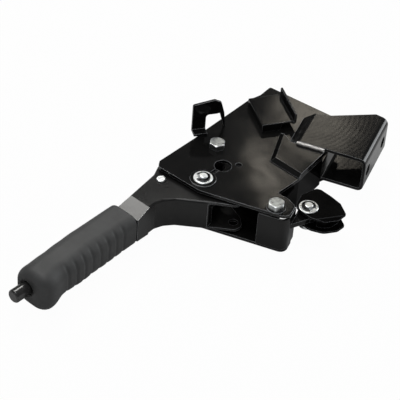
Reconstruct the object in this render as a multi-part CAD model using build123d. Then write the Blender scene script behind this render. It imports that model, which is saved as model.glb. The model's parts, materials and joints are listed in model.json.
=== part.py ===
from build123d import *
import os
from math import cos, hypot, pi, radians, sin

# Hand parking brake lever in its ratchet housing, as it lies on its side. Millimetres.
# X points out of the base flange and Z runs along the lever's pivot. The origin is midway between
# the base flange's two bolt holes, on its outer face. Shapes are drawn from the pivot, the middle
# of the housing's depth, and moved to that origin when they are written.

# Clearances
running = 0.05  # radial gap of a pin that turns in a bush
side_gap = 0.4  # gap between faces that slide past each other
hole_gap = 0.25  # radial gap round a bolt

# Sheet thicknesses
sheet = 3.0  # housing plates and base bracket
lever_sheet = 2.5
light_sheet = 2.0  # switch bracket and cable guide
strap_sheet = 2.5  # loop bracket and corner panel

# Housing
body_depth = 42.0  # over both side plates
near_edge = -16.0  # the side plates' straight edge beside the lever
plate_right = 86.5
plate_waist = (76.5, 37.5)  # where the upper plate's right edge bends
pad_left = (39.5, 90.5)  # the doubler plate's left corner
pad_height = 4.0  # doubler plate between upper plate and base bracket
pad_slope_run = 4.2  # slope along the doubler's left and front edges
pad_slope_rise = 3.2
wall_drop = 31.0  # height of the side wall
panel_proud = 1.0  # corner panel beyond the plates' near edge
panel_gap = 1.6  # gap between the upper plate and the corner panel's rounded top edge
panel_round = 1.1
panel_from = 58.5  # pivot to the opening's right edge
front_bolt = (-5.5, 47.5)
corner_bolt = (71.5, -8.5)
rear_bolt = (22.0, 110.0)
keyhole_centre = (9.3, 24.5)
keyhole_d = 15.5
keyhole_slot = 4.0
peep_hole = (21.5, 32.0)
peep_hole_d = 5.7

# Base bracket
base_x = 125.0  # pivot to the flange's outer face
base_y = 111.5  # pivot to the middle of the flange
base_width = 65.0
base_height = 36.0
base_bend = 6.0  # outer bend radius
base_hole_d = 11.0
base_hole_spacing = 44.0
top_ramp_start = 61.0
low_ramp_start = 88.0
ramp_length = 10.0

# Bolts, nuts and washers
bolt_d = 8.0
hex_across = 13.0
hex_turn = 43.0
head_height = 5.5
nut_d = 11.6  # round weld nuts on the inner face of the lower plate
nut_height = 6.8
washer_d = 17.0
washer_t = 1.0
spacer_d = 14.0

# Pivot
pivot_d = 12.0
pivot_end_d = 8.0
pivot_bush_d = 16.0
boss_d = 23.5
boss_t = 1.0
clip_d = 13.0
clip_t = 1.0
clip_groove = 0.8  # depth of the clip's groove in its pin
pin_past_clip = 1.4
pin_head_d = 19.0
pin_head_t = 1.2
pin_chamfer = 0.7

# Ratchet
sector_t = 5.0
sector_r = 27.0
sector_from = 122.0
sector_to = 200.0
tooth_pitch = 6.0
tooth_depth = 2.4
pawl_pin_at = (-35.0, -11.2)
pawl_pin_d = 6.0
pawl_hub_d = 13.0
pawl_head_d = 8.8
pawl_head_t = 1.8
pawl_tail_t = 3.0
pawl_tip_angle = 181.0

# Lever
lever_depth = 31.0
fold_round = 2.4  # outer radius of the folds between the lever's web and its cheeks
lever_angle = 249.5  # direction of the lever's tube, from X towards Y
tube_offset = 22.0  # pivot axis to the tube's axis
tube_d = 22.0
tube_wall = 2.0
neck_start = 57.0  # along the tube, from the pivot
neck_end = 74.0
neck_depth = 24.0
lever_hub_r = 22.0
cable_eye = (33.0, -5.0)
cable_eye_d = 8.2

# Grip: half the width of the sleeve's rounded square section, the radius of its corners, and how
# far its middle sits towards the finger side of the tube
grip_start = 74.5
grip_end = 193.6
grip_half_start = 16.0
grip_corner_start = 8.5
grip_drop_start = -0.4
grip_half_palm = 17.6
grip_corner_palm = 13.0
grip_drop_palm = 0.8
grip_half_heel = 17.7
grip_drop_heel = 1.9
grip_half_waist = 17.2
grip_drop_waist = 2.4
grip_half_end = 19.4
grip_corner_end = 15.5
grip_drop_end = 6.0
grip_flare = 12.0  # length of the widest part at the free end
grip_waist_to_end = 32.0
grip_round = 4.5
grip_rings = 10  # sections that the sleeve is drawn through
grip_over_tube = 4.0  # the sleeve's end wall past the tube

# Button
button_d = 12.2
button_end = 207.0
button_length = 40.0
button_travel = 4.0
button_chamfer = 1.2
rod_d = 5.0
rod_tip = 34.0  # along the tube, from the pivot
rod_line = 15.5  # pivot axis to the rod's end inside the lever, across the tube
rod_bend = (48.0, 60.0)  # where the rod steps over to the tube's axis
rod_bend_r = 10.0
guide_ring_length = 10.0
spring_wire = 1.0
spring_turns = 7
spring_length = 24.0
seat_t = 2.0

# Cable guide
guide_pin_at = (94.0, 15.5)
guide_top = 11.0
guide_depth = 15.0
guide_bush_d = 12.0
guide_lip_run = 4.6  # slope along the near edge of the guide's upper cheek
guide_lip_rise = 1.3
ear_t = 5.0
ear_r = 9.0

# Switch bracket
switch_angle = 39.0
switch_centre = (22.3, 109.8)
switch_width = 29.5
switch_length = 41.0
switch_height = 8.0
switch_lip = 7.4  # lip above the bracket's top
switch_groove = 1.4  # gap between the top's right edge and the lip
switch_dip = 1.6  # depth of that gap
switch_front = 18.5  # length of the front wall

# Loop bracket: an arch that stands on the plate's left edge
loop_corner = (-34.0, 57.0)
loop_angle = 37.0
loop_post = 12.8  # width of the left post
loop_fold = 23.0  # from the left edge to the bend
loop_reach = 32.5  # from the left edge to the right leg's foot
loop_turn = 3.0  # how far the right leg is bent back
loop_left = 29.5  # height of the left end
loop_peak = 33.0
loop_window = 17.2  # height of the window
loop_leg = 4.8  # width of the right leg under the arch
loop_foot = 8.0

# Heights worked out from the sizes above
half = body_depth / 2
inside = half - sheet
lever_half = lever_depth / 2
base_top = half + pad_height + sheet
base_z = base_top - base_height / 2
foot_z = -half - boss_t - pin_head_t
guide_low = guide_top - guide_depth
tube_r = tube_d / 2
bore_r = tube_r - tube_wall
tube_end = grip_end - grip_over_tube

# The lever tube's own frame: Z along the tube, X towards the lever's top side
along = Vector(cos(radians(lever_angle)), sin(radians(lever_angle)), 0)
across = Vector(along.Y, -along.X, 0)
tube_frame = Plane(origin=across * tube_offset, x_dir=across, z_dir=along)


def outline(corners):
    """Closed face with a radius at each corner, given as x, y, radius."""
    points = [(x, y) for x, y, _ in corners]
    radii = [r for _, _, r in corners]
    return make_face(FilletPolyline(*points, radius=radii, close=True))


def plate(corners, low, high):
    """Flat plate of a plan outline between two heights."""
    return extrude(Pos(0, 0, low) * outline(corners), amount=high - low)


def disc(centre, diameter, low, high, bore=0.0):
    """Upright cylinder or tube."""
    face = Circle(diameter / 2)
    if bore:
        face -= Circle(bore / 2)
    return extrude(Pos(centre[0], centre[1], low) * face, amount=high - low)


def strip(points, radius, thickness, side):
    """Section of a bent sheet: one skin's line, thickened to one side."""
    line = FilletPolyline(*points, radius=radius)
    return make_face(offset(line, amount=thickness, side=side, closed=True))


def upright(face, low, high):
    """A plan section drawn up to its height."""
    return extrude(Pos(0, 0, low) * face, amount=high - low)


def along_tube(diameter, start, end, bore=0.0, shift=0.0):
    """Cylinder or tube on the lever tube's axis."""
    face = Circle(diameter / 2)
    if bore:
        face -= Circle(bore / 2)
    return extrude(tube_frame.offset(start) * Pos(shift, 0) * face, amount=end - start)


def on_tube(distance, offset_across, height=0.0):
    """A point given along the tube and across from the pivot."""
    point = along * distance + across * offset_across
    return Vector(point.X, point.Y, height)


def polar(radius, angle):
    """A plan point round the pivot."""
    return (radius * cos(radians(angle)), radius * sin(radians(angle)))


bolt_places = (front_bolt, corner_bolt, rear_bolt)
bolt_hole_d = bolt_d + 2 * hole_gap
pivot_place = (0.0, 0.0)

plate_corners = [
    (-42.0, -1.5, 5), (3.0, near_edge, 20), (86.0, near_edge, 7), (86.0, 1.0, 5), (77.5, 7.5, 4),
    (66.0, 11.0, 2), (*plate_waist, 3), (plate_right, 84.0, 0), (plate_right, 133.0, 2), (7.0, 152.0, 2),
    (3.0, 136.5, 3), (-4.0, 125.0, 10), (-23.5, 66.0, 4), (-28.0, 50.0, 3), (-44.0, 6.0, 4),
]
lower_corners = [
    (-42.0, -1.5, 5), (3.0, near_edge, 20), (86.0, near_edge, 7), (86.0, 1.0, 5), (77.5, 7.5, 4),
    (62.0, 12.0, 3), (68.0, 38.0, 3), (79.0, 80.0, 0), (79.0, 134.8, 2), (7.0, 152.0, 2),
    (3.0, 136.5, 3), (-4.0, 125.0, 10), (-23.5, 66.0, 4), (-28.0, 50.0, 3), (-44.0, 6.0, 4),
]


def bolt_holes(low, high):
    """Cutters for the pivot pin and the three housing bolts."""
    cut = disc(pivot_place, pivot_d + 2 * hole_gap, low - 1, high + 1)
    for place in bolt_places:
        cut += disc(place, bolt_hole_d, low - 1, high + 1)
    return cut


def upper_side_plate():
    low, high = inside, half
    body = plate(plate_corners, low, high) - bolt_holes(low, high)
    body -= disc(keyhole_centre, keyhole_d, low - 1, high + 1)
    reach = hypot(*keyhole_centre)
    unit = (keyhole_centre[0] / reach, keyhole_centre[1] / reach)
    slot_start = boss_d / 2 + keyhole_slot / 2 + side_gap
    ends = ((unit[0] * slot_start, unit[1] * slot_start), keyhole_centre)
    slot = SlotCenterToCenter(hypot(ends[1][0] - ends[0][0], ends[1][1] - ends[0][1]), keyhole_slot)
    middle = ((ends[0][0] + ends[1][0]) / 2, (ends[0][1] + ends[1][1]) / 2)
    turn = Vector(unit[0], unit[1], 0).get_signed_angle(Vector(1, 0, 0), Vector(0, 0, -1))
    body -= upright(Pos(*middle) * Rot(0, 0, turn) * slot, low - 1, high + 1)
    body -= disc(peep_hole, peep_hole_d, low - 1, high + 1)
    return body


def lower_side_plate():
    return plate(lower_corners, -half, -inside) - bolt_holes(-half, -inside)


def side_wall():
    line = [(66.6, 12.5), plate_waist, (plate_right - 1.1, base_y - base_width / 2 - 1.5)]
    return upright(strip(line, sheet, sheet, Side.LEFT), inside - wall_drop, inside)


def slope_along(start, end, top, run, rise):
    """Cutter that slopes a plate's top down to its edge, which runs from start to end."""
    reach = Vector(end[0] - start[0], end[1] - start[1], 0)
    way = reach.normalized()
    frame = Plane(origin=Vector(start[0], start[1], 0) - way * 2 * run,
                  x_dir=(way.Y, -way.X, 0), z_dir=way)
    wedge = make_face(Polyline(
        (-run, -top), (run, rise * 2 - top), (run, -top - rise), (-run, -top - rise), close=True))
    return extrude(frame * wedge, amount=reach.length + 4 * run)


def doubler_plate():
    front = base_y - base_width / 2
    corners = [
        (*pad_left, 0), (45.0, 48.5, 0), (plate_waist[0], plate_waist[1] - 1.0, 1),
        (plate_right - 0.2, front, 0), (plate_right - 0.2, front + 14, 1),
        (top_ramp_start + 6, front + 14, 1), (top_ramp_start + 6, front - side_gap, 0),
        (top_ramp_start - 7, front - side_gap, 1),
    ]
    body = plate(corners, half, half + pad_height)
    for start, end in zip(corners[:2], corners[1:3]):
        body -= slope_along(start, end, half + pad_height, pad_slope_run, pad_slope_rise)
    return body


def base_bracket():
    low = base_top - base_height
    left = top_ramp_start - 1.3 * ramp_length
    drop = 1.3 * (base_top - half)
    line = [
        (left, base_top - drop), (top_ramp_start, base_top), (base_x, base_top), (base_x, low),
        (low_ramp_start, low), (low_ramp_start - ramp_length, -inside), (60.0, -inside),
    ]
    section = strip(line, [3, base_bend, base_bend, 3, 3], sheet, Side.RIGHT)
    front = base_y - base_width / 2
    back = base_y + base_width / 2
    frame = Plane(origin=(0, back + 10, 0), x_dir=(1, 0, 0), z_dir=(0, -1, 0))
    body = extrude(frame * section, amount=back + 10 - front)
    shape = [
        (54.5, front, 0), (base_x + 5, front, 0), (base_x + 5, back, 0), (base_x - 13, back + 4, 3),
        (75.0, 127.5, 3), (40.0, 119.0, 0), (40.5, front + 12, 0),
    ]
    body &= plate(shape, -inside, base_top + 1)
    body -= Pos(top_ramp_start - 15, base_y, half - 5) * Box(36, 2 * base_width, 10)
    for side in (-1, 1):
        at = Plane(origin=(base_x - 2 * sheet, base_y + side * base_hole_spacing / 2, base_z),
                   z_dir=(1, 0, 0))
        body -= extrude(at * Circle(base_hole_d / 2), amount=4 * sheet)
    return body


def corner_panel():
    """Wall round the housing's open corner, with the ear that carries the cable guide."""
    right = 86.0
    near = near_edge - panel_proud
    line = [(panel_from, near), (right, near), (right, 5.0)]
    wall = upright(strip(line, 8.0, strap_sheet, Side.LEFT), -inside, inside - panel_gap)
    wall = fillet(wall.faces().sort_by(Axis.Z)[-1].edges(), panel_round)
    middle = (guide_top + guide_low) / 2
    x, y = guide_pin_at
    ear = upright(Pos(x, y) * Circle(ear_r), middle - ear_t / 2, middle + ear_t / 2)
    root = [(right - 1, -8.0, 0), (x + ear_r - 3, y - 6, 0), (x - 5, y + ear_r - 2, 0), (right - 1, 5.0, 0)]
    ear += plate(root, middle - ear_t / 2, middle + ear_t / 2)
    ear -= Pos(right - 10, 0, middle) * Box(20, 60, 2 * ear_t)
    body = wall + ear
    return body - disc(guide_pin_at, guide_bush_d, middle - ear_t, middle + ear_t)


def switch_bracket():
    """Folded cover over the rear bolt, with a raised lip along its right side."""
    left = -switch_width / 2
    right = switch_width / 2
    top = half + switch_height
    lip = right + switch_groove
    line = [
        (left, half), (left, top), (right, top), (right, top - switch_dip), (lip, top - switch_dip),
        (lip, top + switch_lip),
    ]
    section = strip(line, [1.0, 0.7, 0.6, 0.6], light_sheet, Side.RIGHT)
    frame = Plane(origin=(0, switch_length / 2, 0), x_dir=(1, 0, 0), z_dir=(0, -1, 0))
    body = extrude(frame * section, amount=switch_length)
    wall_height = switch_height - light_sheet
    front = Pos(left + switch_front / 2, (light_sheet - switch_length) / 2, half + wall_height / 2)
    body += front * Box(switch_front, light_sheet, wall_height)
    return Pos(switch_centre[0], switch_centre[1]) * Rot(0, 0, switch_angle) * body


def loop_bracket():
    """Arch of bent strap: a wide left post on a foot, and a thin leg bent back at the right."""
    line = [(0.0, 0.0), (loop_fold, 0.0), (loop_reach, loop_turn)]
    wall = upright(strip(line, 8.0, strap_sheet, Side.LEFT), half, half + 2 * loop_peak)
    leg_top = loop_reach - 2.0
    shape = [
        (0, half, 0), (0, half + loop_left, 2), (loop_fold - 2.5, half + loop_peak, 3),
        (leg_top - 3.8, half + loop_left - 0.5, 3), (leg_top, half + loop_window - 1.2, 2),
        (loop_reach, half, 0), (loop_reach - 1.8, half, 0),
        (leg_top - loop_leg, half + loop_window, 1.5), (loop_post, half + loop_window, 3),
        (loop_post, half, 0),
    ]
    front = Plane(origin=(0, 0, 0), x_dir=(1, 0, 0), z_dir=(0, -1, 0))
    wall &= extrude(front * outline(shape), amount=60, both=True)
    foot = Pos(loop_post / 2, strap_sheet - loop_foot / 2 - 1, half + strap_sheet / 2)
    wall += foot * Box(loop_post, loop_foot + 2, strap_sheet)
    return Pos(loop_corner[0], loop_corner[1]) * Rot(0, 0, loop_angle) * wall


def weld_line():
    """Fillet weld along the base bracket's front edge, on the doubler plate."""
    front = base_y - base_width / 2
    low = half + pad_height
    start = top_ramp_start - 3
    frame = Plane(origin=(start, 0, 0), x_dir=(0, 1, 0), z_dir=(1, 0, 0))
    bead = make_face(Polyline((front, low), (front - sheet, low), (front, low + sheet * 0.9), close=True))
    return extrude(frame * bead, amount=plate_right - 0.2 - start)


def ratchet_sector():
    """Toothed plate in the middle of the housing, held by the pivot pin and the front bolt."""
    low, high = -sector_t / 2, sector_t / 2
    root_r = sector_r - tooth_depth
    body = disc(pivot_place, 2 * root_r, low, high)
    step = (sector_to - sector_from) / 4
    fan = [(0, 0)] + [polar(sector_r * 1.5, sector_from + number * step) for number in range(5)]
    wedge = upright(make_face(Polyline(*fan, close=True)), low, high)
    hub = disc(pivot_place, pivot_bush_d + 14, low, high)
    body = (body & wedge) + hub
    teeth = int((sector_to - sector_from) / tooth_pitch)
    for number in range(teeth):
        angle = sector_from + (number + 0.5) * tooth_pitch
        tooth = make_face(Polyline(
            polar(root_r - 1, angle - tooth_pitch * 0.48), polar(root_r, angle - tooth_pitch * 0.48),
            polar(sector_r, angle - tooth_pitch * 0.05), polar(sector_r, angle + tooth_pitch * 0.2),
            polar(root_r, angle + tooth_pitch * 0.42), polar(root_r - 1, angle + tooth_pitch * 0.42),
            close=True))
        body += upright(tooth, low, high)
    x, y = front_bolt
    arm = [(-13.0, 8.0, 0), (13.0, 8.0, 0), (x + 8, y, 0), (x - 8, y, 0)]
    body += plate(arm, low, high)
    body += disc(front_bolt, spacer_d + 4, low, high)
    body -= disc(pivot_place, pivot_d + 2 * hole_gap, low - 1, high + 1)
    return body - disc(front_bolt, bolt_hole_d, low - 1, high + 1)


def spacer_tubes():
    """Tubes on the housing bolts that keep the side plates apart, standing on the weld nuts."""
    foot = nut_height - inside
    tubes = disc(rear_bolt, spacer_d, foot, inside, bolt_hole_d)
    tubes += disc(front_bolt, spacer_d, sector_t / 2, inside, bolt_hole_d)
    return tubes + disc(front_bolt, spacer_d, foot, -sector_t / 2, bolt_hole_d)


def hexagon(centre, low, high):
    """Hexagonal prism with its corners chamfered at the top."""
    shape = RegularPolygon(hex_across / 2, 6, major_radius=False, rotation=hex_turn)
    body = upright(Pos(*centre) * shape, low, high)
    cone_r = hex_across * 0.475
    rise = high - low
    cone = Pos(centre[0], centre[1], low) * Cone(cone_r + rise * 1.8, cone_r, rise, align=(
        Align.CENTER, Align.CENTER, Align.MIN))
    return body & cone


def seat_of(place):
    """Height of the bolt head's underside: the corner bolt has a washer under it."""
    return half + (washer_t if place == corner_bolt else 0.0)


def body_bolts():
    bolts = None
    for place in bolt_places:
        seat = seat_of(place)
        bolt = hexagon(place, seat, seat + head_height) + disc(place, bolt_d, foot_z, seat)
        bolts = bolt if bolts is None else bolts + bolt
    return bolts


def body_nuts():
    """Weld nuts on the inner face of the lower plate, round to fit beside the corner panel."""
    nuts = None
    for place in bolt_places:
        nut = disc(place, nut_d, -inside, nut_height - inside, bolt_d)
        nuts = nut if nuts is None else nuts + nut
    return nuts


def corner_washer():
    """Plain washer under the corner bolt's head."""
    return disc(corner_bolt, washer_d, half, half + washer_t, bolt_hole_d)


def pivot_bosses():
    """Rings on the outside of both side plates round the pivot pin."""
    upper = disc(pivot_place, boss_d, half, half + boss_t, pivot_d + 2 * hole_gap)
    return upper + disc(pivot_place, boss_d, -half - boss_t, -half, pivot_d + 2 * hole_gap)


def stepped_pin(centre, thick, low, shoulder):
    """Pin with a thin grooved end above its shoulder, for a washer and a clip."""
    clip_at = shoulder + washer_t
    top = clip_at + clip_t + pin_past_clip
    body = disc(centre, thick, low, shoulder) + disc(centre, pivot_end_d, shoulder, top)
    body = chamfer(body.edges().group_by(Axis.Z)[-1], pin_chamfer)
    groove = disc(centre, thick, clip_at, clip_at + clip_t, pivot_end_d - 2 * clip_groove)
    return body - groove


def pivot_pin():
    head = disc(pivot_place, pin_head_d, foot_z, -half - boss_t)
    return stepped_pin(pivot_place, pivot_d, -half - boss_t, half + boss_t) + head


def washer_on(centre, low):
    return disc(centre, washer_d + 0.4, low, low + washer_t, pivot_end_d + 2 * hole_gap)


def clip_on(centre, low, opening):
    """Snap ring in a pin's groove, open towards one side."""
    ring = disc(centre, clip_d, low, low + clip_t, pivot_end_d - 2 * clip_groove)
    gap = Pos(centre[0], centre[1], low + clip_t / 2) * Rot(0, 0, opening) * Pos(clip_d / 2, 0) * Box(
        clip_d, pivot_end_d * 0.75, 2 * clip_t)
    return ring - gap


def lever_bushes():
    """Bushes in the lever's cheeks, one on each side of the ratchet sector."""
    bore = pivot_d + 2 * running
    near = sector_t / 2 + side_gap
    upper = disc(pivot_place, pivot_bush_d, near, inside - side_gap, bore)
    return upper + disc(pivot_place, pivot_bush_d, side_gap - inside, -near, bore)


def lever_arm():
    """Pressed channel: two cheeks on the pivot, a web along the finger side, and a sloped neck."""
    high_side = on_tube(neck_start, 32.4)
    low_side = on_tube(neck_start, 10.0)
    eye_x, eye_y = cable_eye
    corners = [
        (high_side.X, high_side.Y, 0), (low_side.X, low_side.Y, 0), (-27.0, -42.5, 5), (-21.5, -35.5, 8),
        (-13.0, -30.0, 10), (12.0, -22.5, 0), (20.0, -18.8, 3), (eye_x + 5, eye_y - 9, 6),
        (eye_x + 9, eye_y - 2, 6), (eye_x + 4, eye_y + 8, 6), (18.0, 19.0, 10), (4.0, 24.0, 10),
        (-20.0, 19.0, 10), (-44.5, 6.0, 4), (-43.2, -8.0, 4),
    ]
    solid = plate(corners, -lever_half, lever_half)
    ends = solid.faces().sort_by(Axis.Z)
    folds = [edge for face in (ends[0], ends[-1]) for edge in face.edges()
             if edge.center().Y < near_edge and low_side.X - 1 < edge.center().X < 12.0]
    solid = fillet(folds, fold_round)
    hollow = [
        (high_side.X - 20, high_side.Y + 8, 0), (high_side.X - 20, high_side.Y - 8, 0),
        (low_side.X - 2.4, low_side.Y + 0.6, 0), (-29.3, -41.5, 3), (-23.3, -33.6, 5), (-13.9, -27.5, 7),
        (13.2, -19.4, 0), (17.0, -30.0, 0), (60.0, -30.0, 0), (60.0, 60.0, 0), (-70.0, 60.0, 0),
    ]
    body = solid - plate(hollow, lever_sheet - lever_half, lever_half - lever_sheet)
    curl = [(10.2, -21.5), (14.2, -20.3), (15.6, -14.5)]
    section = strip(curl, lever_sheet + 0.1, lever_sheet, Side.LEFT)
    body += upright(section, lever_sheet - lever_half, lever_half - lever_sheet)
    body += lever_neck()
    pin_hole = pawl_pin_d
    body -= disc(pivot_place, pivot_bush_d, -lever_depth, lever_depth)
    body -= disc(pawl_pin_at, pin_hole, -lever_depth, lever_depth)
    return body - disc(cable_eye, cable_eye_d, -lever_depth, lever_depth)


def neck_section(distance, low, high, depth):
    """Rectangle across the tube: from low to high across, and depth through the housing."""
    face = Pos((low + high) / 2 - tube_offset, 0) * Rectangle(high - low, depth)
    return tube_frame.offset(distance) * face


def lever_neck():
    """Tapered box from the channel to the grip, hollow for the push rod."""
    wall = lever_sheet
    outer = loft([neck_section(neck_start, 10.0, 32.4, lever_depth),
                  neck_section(neck_end, 7.4, 32.2, neck_depth)])
    inner = loft([neck_section(neck_start, 10.0 + wall, 32.4 - wall, lever_depth - 2 * wall),
                  neck_section(neck_end, 7.4 + wall, 32.2 - wall, neck_depth - 2 * wall)])
    floor = along_tube(4 * tube_d, neck_end - 2 * wall, neck_end + 1) & outer
    body = outer - inner + floor
    return body - along_tube(tube_d, neck_end - 2 * wall - 1, neck_end + 1)


def lever_tube():
    return along_tube(tube_d, neck_end - 2 * lever_sheet, tube_end, 2 * bore_r)


def eased(stations, distance):
    """Values at a distance along the tube, eased between the stations."""
    for (low, *start), (high, *end) in zip(stations, stations[1:]):
        if distance <= high:
            share = (1 - cos(pi * (distance - low) / (high - low))) / 2
            return [first + (last - first) * share for first, last in zip(start, end)]
    return stations[-1][1:]


def grip():
    """Rubber sleeve, squarish at the arm, with a waist and a flared end towards the finger side."""
    waist = grip_end - grip_waist_to_end
    palm = (grip_start + waist) / 2 + grip_half_palm / 2
    stations = [
        (grip_start, grip_half_start, grip_corner_start, grip_drop_start),
        (palm, grip_half_palm, grip_corner_palm, grip_drop_palm),
        ((palm + waist) / 2, grip_half_heel, grip_corner_palm, grip_drop_heel),
        (waist, grip_half_waist, grip_corner_palm, grip_drop_waist),
        (grip_end - grip_flare, grip_half_end, grip_corner_end, grip_drop_end),
        (grip_end, grip_half_end, grip_corner_end, grip_drop_end),
    ]
    rings = []
    for number in range(grip_rings + 1):
        distance = grip_start + (grip_end - grip_start) * number / grip_rings
        half_width, corner, drop = eased(stations, distance)
        section = RectangleRounded(2 * half_width, 2 * half_width, corner)
        rings.append(tube_frame.offset(distance) * Pos(-drop, 0) * section)
    body = loft(rings)
    skins = body.faces().sort_by(lambda face: face.center().dot(along))
    body = fillet(skins[0].edges() + skins[-1].edges(), grip_round)
    body -= along_tube(tube_d, grip_start - 1, grip_end - grip_over_tube)
    return body - along_tube(button_d + 2.0, grip_end - 10, grip_end + 1)


def button_guide():
    """Ring in the tube's end that the button slides in."""
    length = guide_ring_length
    return along_tube(2 * bore_r, tube_end - length, tube_end, button_d + 2 * running)


def release_button():
    body = along_tube(button_d, button_end - button_length, button_end)
    face = body.faces().sort_by(lambda f: f.center().dot(along))[-1]
    return chamfer(face.edges(), button_chamfer)


def push_rod():
    """Rod with a round tip that steps over from the tube's axis to the pawl's tail."""
    tip = on_tube(rod_tip + rod_d / 2, rod_line)
    inner, outer = rod_bend
    path = FilletPolyline(
        tip, on_tube(inner, rod_line), on_tube(outer, tube_offset),
        on_tube(button_end - button_length, tube_offset), radius=rod_bend_r)
    rod = sweep(Plane(origin=path @ 0, z_dir=path % 0) * Circle(rod_d / 2), path=path)
    return rod + Pos(tip) * Sphere(rod_d / 2)


def spring_seat():
    """Ring inside the tube that the button's spring pushes against."""
    low = button_end - button_length - spring_length - seat_t
    return along_tube(2 * bore_r, low, low + seat_t, rod_d + 2 * hole_gap)


def button_spring():
    low = button_end - button_length - spring_length + spring_wire / 2
    height = spring_length - spring_wire
    helix = Helix(pitch=height / spring_turns, height=height, radius=button_d / 2 - 1)
    profile = Plane(origin=helix @ 0, z_dir=helix % 0) * Circle(spring_wire / 2)
    return tube_frame.offset(low).location * sweep(profile, path=helix)


def pawl():
    """Latch whose tip clears the crests of the sector's teeth, with a tail for the push rod."""
    low, high = -sector_t / 2, sector_t / 2
    tip = polar(sector_r + side_gap, pawl_tip_angle)
    tip_back = polar(sector_r + side_gap + 5.0, pawl_tip_angle + 7)
    tip_out = polar(sector_r + side_gap + 6.0, pawl_tip_angle - 7)
    x, y = pawl_pin_at
    body = disc(pawl_pin_at, pawl_hub_d, low, high)
    body += upright(make_face(Polyline(
        (x - 6, y + 1), tip_out, tip, tip_back, (x + 6, y - 2), close=True)), low, high)
    face = rod_tip - side_gap
    edge = rod_line - rod_d / 2 + 0.9
    tail = [
        (face, edge), (face, rod_line + 6.0), (27.5, 31.0), (20.5, 24.0), (28.0, 20.0),
        (face - pawl_tail_t, edge),
    ]
    spots = [on_tube(*spot) for spot in tail]
    body += upright(make_face(Polyline(*[(p.X, p.Y) for p in spots], close=True)), low, high)
    return body - disc(pawl_pin_at, pawl_pin_d + 2 * running, low - 1, high + 1)


def pawl_pin():
    body = disc(pawl_pin_at, pawl_pin_d, -lever_half - 1.0, lever_half)
    head = disc(pawl_pin_at, pawl_head_d, lever_half, lever_half + pawl_head_t)
    top = fillet(head.edges().group_by(Axis.Z)[-1], pawl_head_t * 0.6)
    return body + top


def pawl_collars():
    """Collars that hold the pawl in the middle of the lever."""
    near = sector_t / 2 + side_gap
    far = lever_half - lever_sheet
    upper = disc(pawl_pin_at, pawl_pin_d + 4, near, far, pawl_pin_d)
    return upper + disc(pawl_pin_at, pawl_pin_d + 4, -far, -near, pawl_pin_d)


guide_corners = [
    (83.0, 12.0, 6), (100.0, 3.5, 12), (113.0, 4.5, 10), (123.5, 12.5, 6), (127.0, 21.5, 3),
    (118.0, 33.0, 3), (107.0, 39.0, 9), (96.0, 43.6, 2), (91.8, 43.2, 2), (82.6, 29.5, 3),
]


def cable_guide():
    """Two rounded cheeks with a curved web between them that the brake cable lies on."""
    cheeks = plate(guide_corners, guide_top - light_sheet, guide_top)
    cheeks += plate(guide_corners, guide_low, guide_low + light_sheet)
    line = [(104.5, 9.5), (112.0, 10.0), (117.5, 15.5), (120.5, 22.5)]
    web = upright(strip(line, 4.0, light_sheet, Side.LEFT), guide_low, guide_top)
    body = cheeks + web
    body -= slope_along(guide_corners[2], guide_corners[3], guide_top, guide_lip_run, guide_lip_rise)
    return body - disc(guide_pin_at, pivot_end_d + 2 * running, guide_low - 1, guide_top + 1)


def guide_bush():
    inner = guide_top - light_sheet - side_gap
    outer = guide_low + light_sheet + side_gap
    return disc(guide_pin_at, guide_bush_d, outer, inner, pivot_end_d + 2 * hole_gap)


def guide_pin():
    """Headed pin of the cable guide, with the same washer and clip as the pivot."""
    head = disc(guide_pin_at, washer_d - 2, guide_low - side_gap - 4.0, guide_low - side_gap)
    clip_at = guide_top + side_gap + washer_t
    body = disc(guide_pin_at, pivot_end_d, guide_low - side_gap, clip_at + clip_t + pin_past_clip)
    body = chamfer(body.edges().group_by(Axis.Z)[-1], pin_chamfer)
    groove = disc(guide_pin_at, pivot_d, clip_at, clip_at + clip_t, pivot_end_d - 2 * clip_groove)
    return body - groove + head


nodes = {
    "upper_side_plate": upper_side_plate(),
    "lower_side_plate": lower_side_plate(),
    "side_wall": side_wall(),
    "corner_panel": corner_panel(),
    "doubler_plate": doubler_plate(),
    "base_bracket": base_bracket(),
    "bracket_weld": weld_line(),
    "switch_bracket": switch_bracket(),
    "loop_bracket": loop_bracket(),
    "ratchet_sector": ratchet_sector(),
    "spacer_tubes": spacer_tubes(),
    "body_bolts": body_bolts(),
    "body_nuts": body_nuts(),
    "corner_washer": corner_washer(),
    "pivot_bosses": pivot_bosses(),
    "pivot_pin": pivot_pin(),
    "pivot_washer": washer_on(pivot_place, half + boss_t),
    "pivot_clip": clip_on(pivot_place, half + boss_t + washer_t, 200),
    "guide_bush": guide_bush(),
    "guide_pin": guide_pin(),
    "guide_washer": washer_on(guide_pin_at, guide_top + side_gap),
    "guide_clip": clip_on(guide_pin_at, guide_top + side_gap + washer_t, 330),
    "cable_guide": cable_guide(),
    "lever_arm": lever_arm(),
    "lever_bushes": lever_bushes(),
    "lever_tube": lever_tube(),
    "grip": grip(),
    "button_guide": button_guide(),
    "spring_seat": spring_seat(),
    "button_spring": button_spring(),
    "pawl_pin": pawl_pin(),
    "pawl_collars": pawl_collars(),
    "pawl": pawl(),
    "release_button": release_button(),
    "push_rod": push_rod(),
}

os.makedirs("parts", exist_ok=True)
to_base = Pos(-base_x, -base_y, -base_z)
for name, shape in nodes.items():
    export_step(to_base * shape, f"parts/{name}.step")
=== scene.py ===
"""Looks of a hand parking brake lever, lying on its side in a pale studio.

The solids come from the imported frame. This script gives them their finishes, rounds their edges,
replaces the rubber grip, the weld and the button's spring with detailed pieces, and sets the light
and the camera. Lengths are in metres; X points out of the base flange and Z along the pivot.
"""

from __future__ import annotations

import json
import logging
import math
from dataclasses import dataclass
from enum import Enum

import bmesh
import bpy
from mathutils import Matrix, Vector

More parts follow.
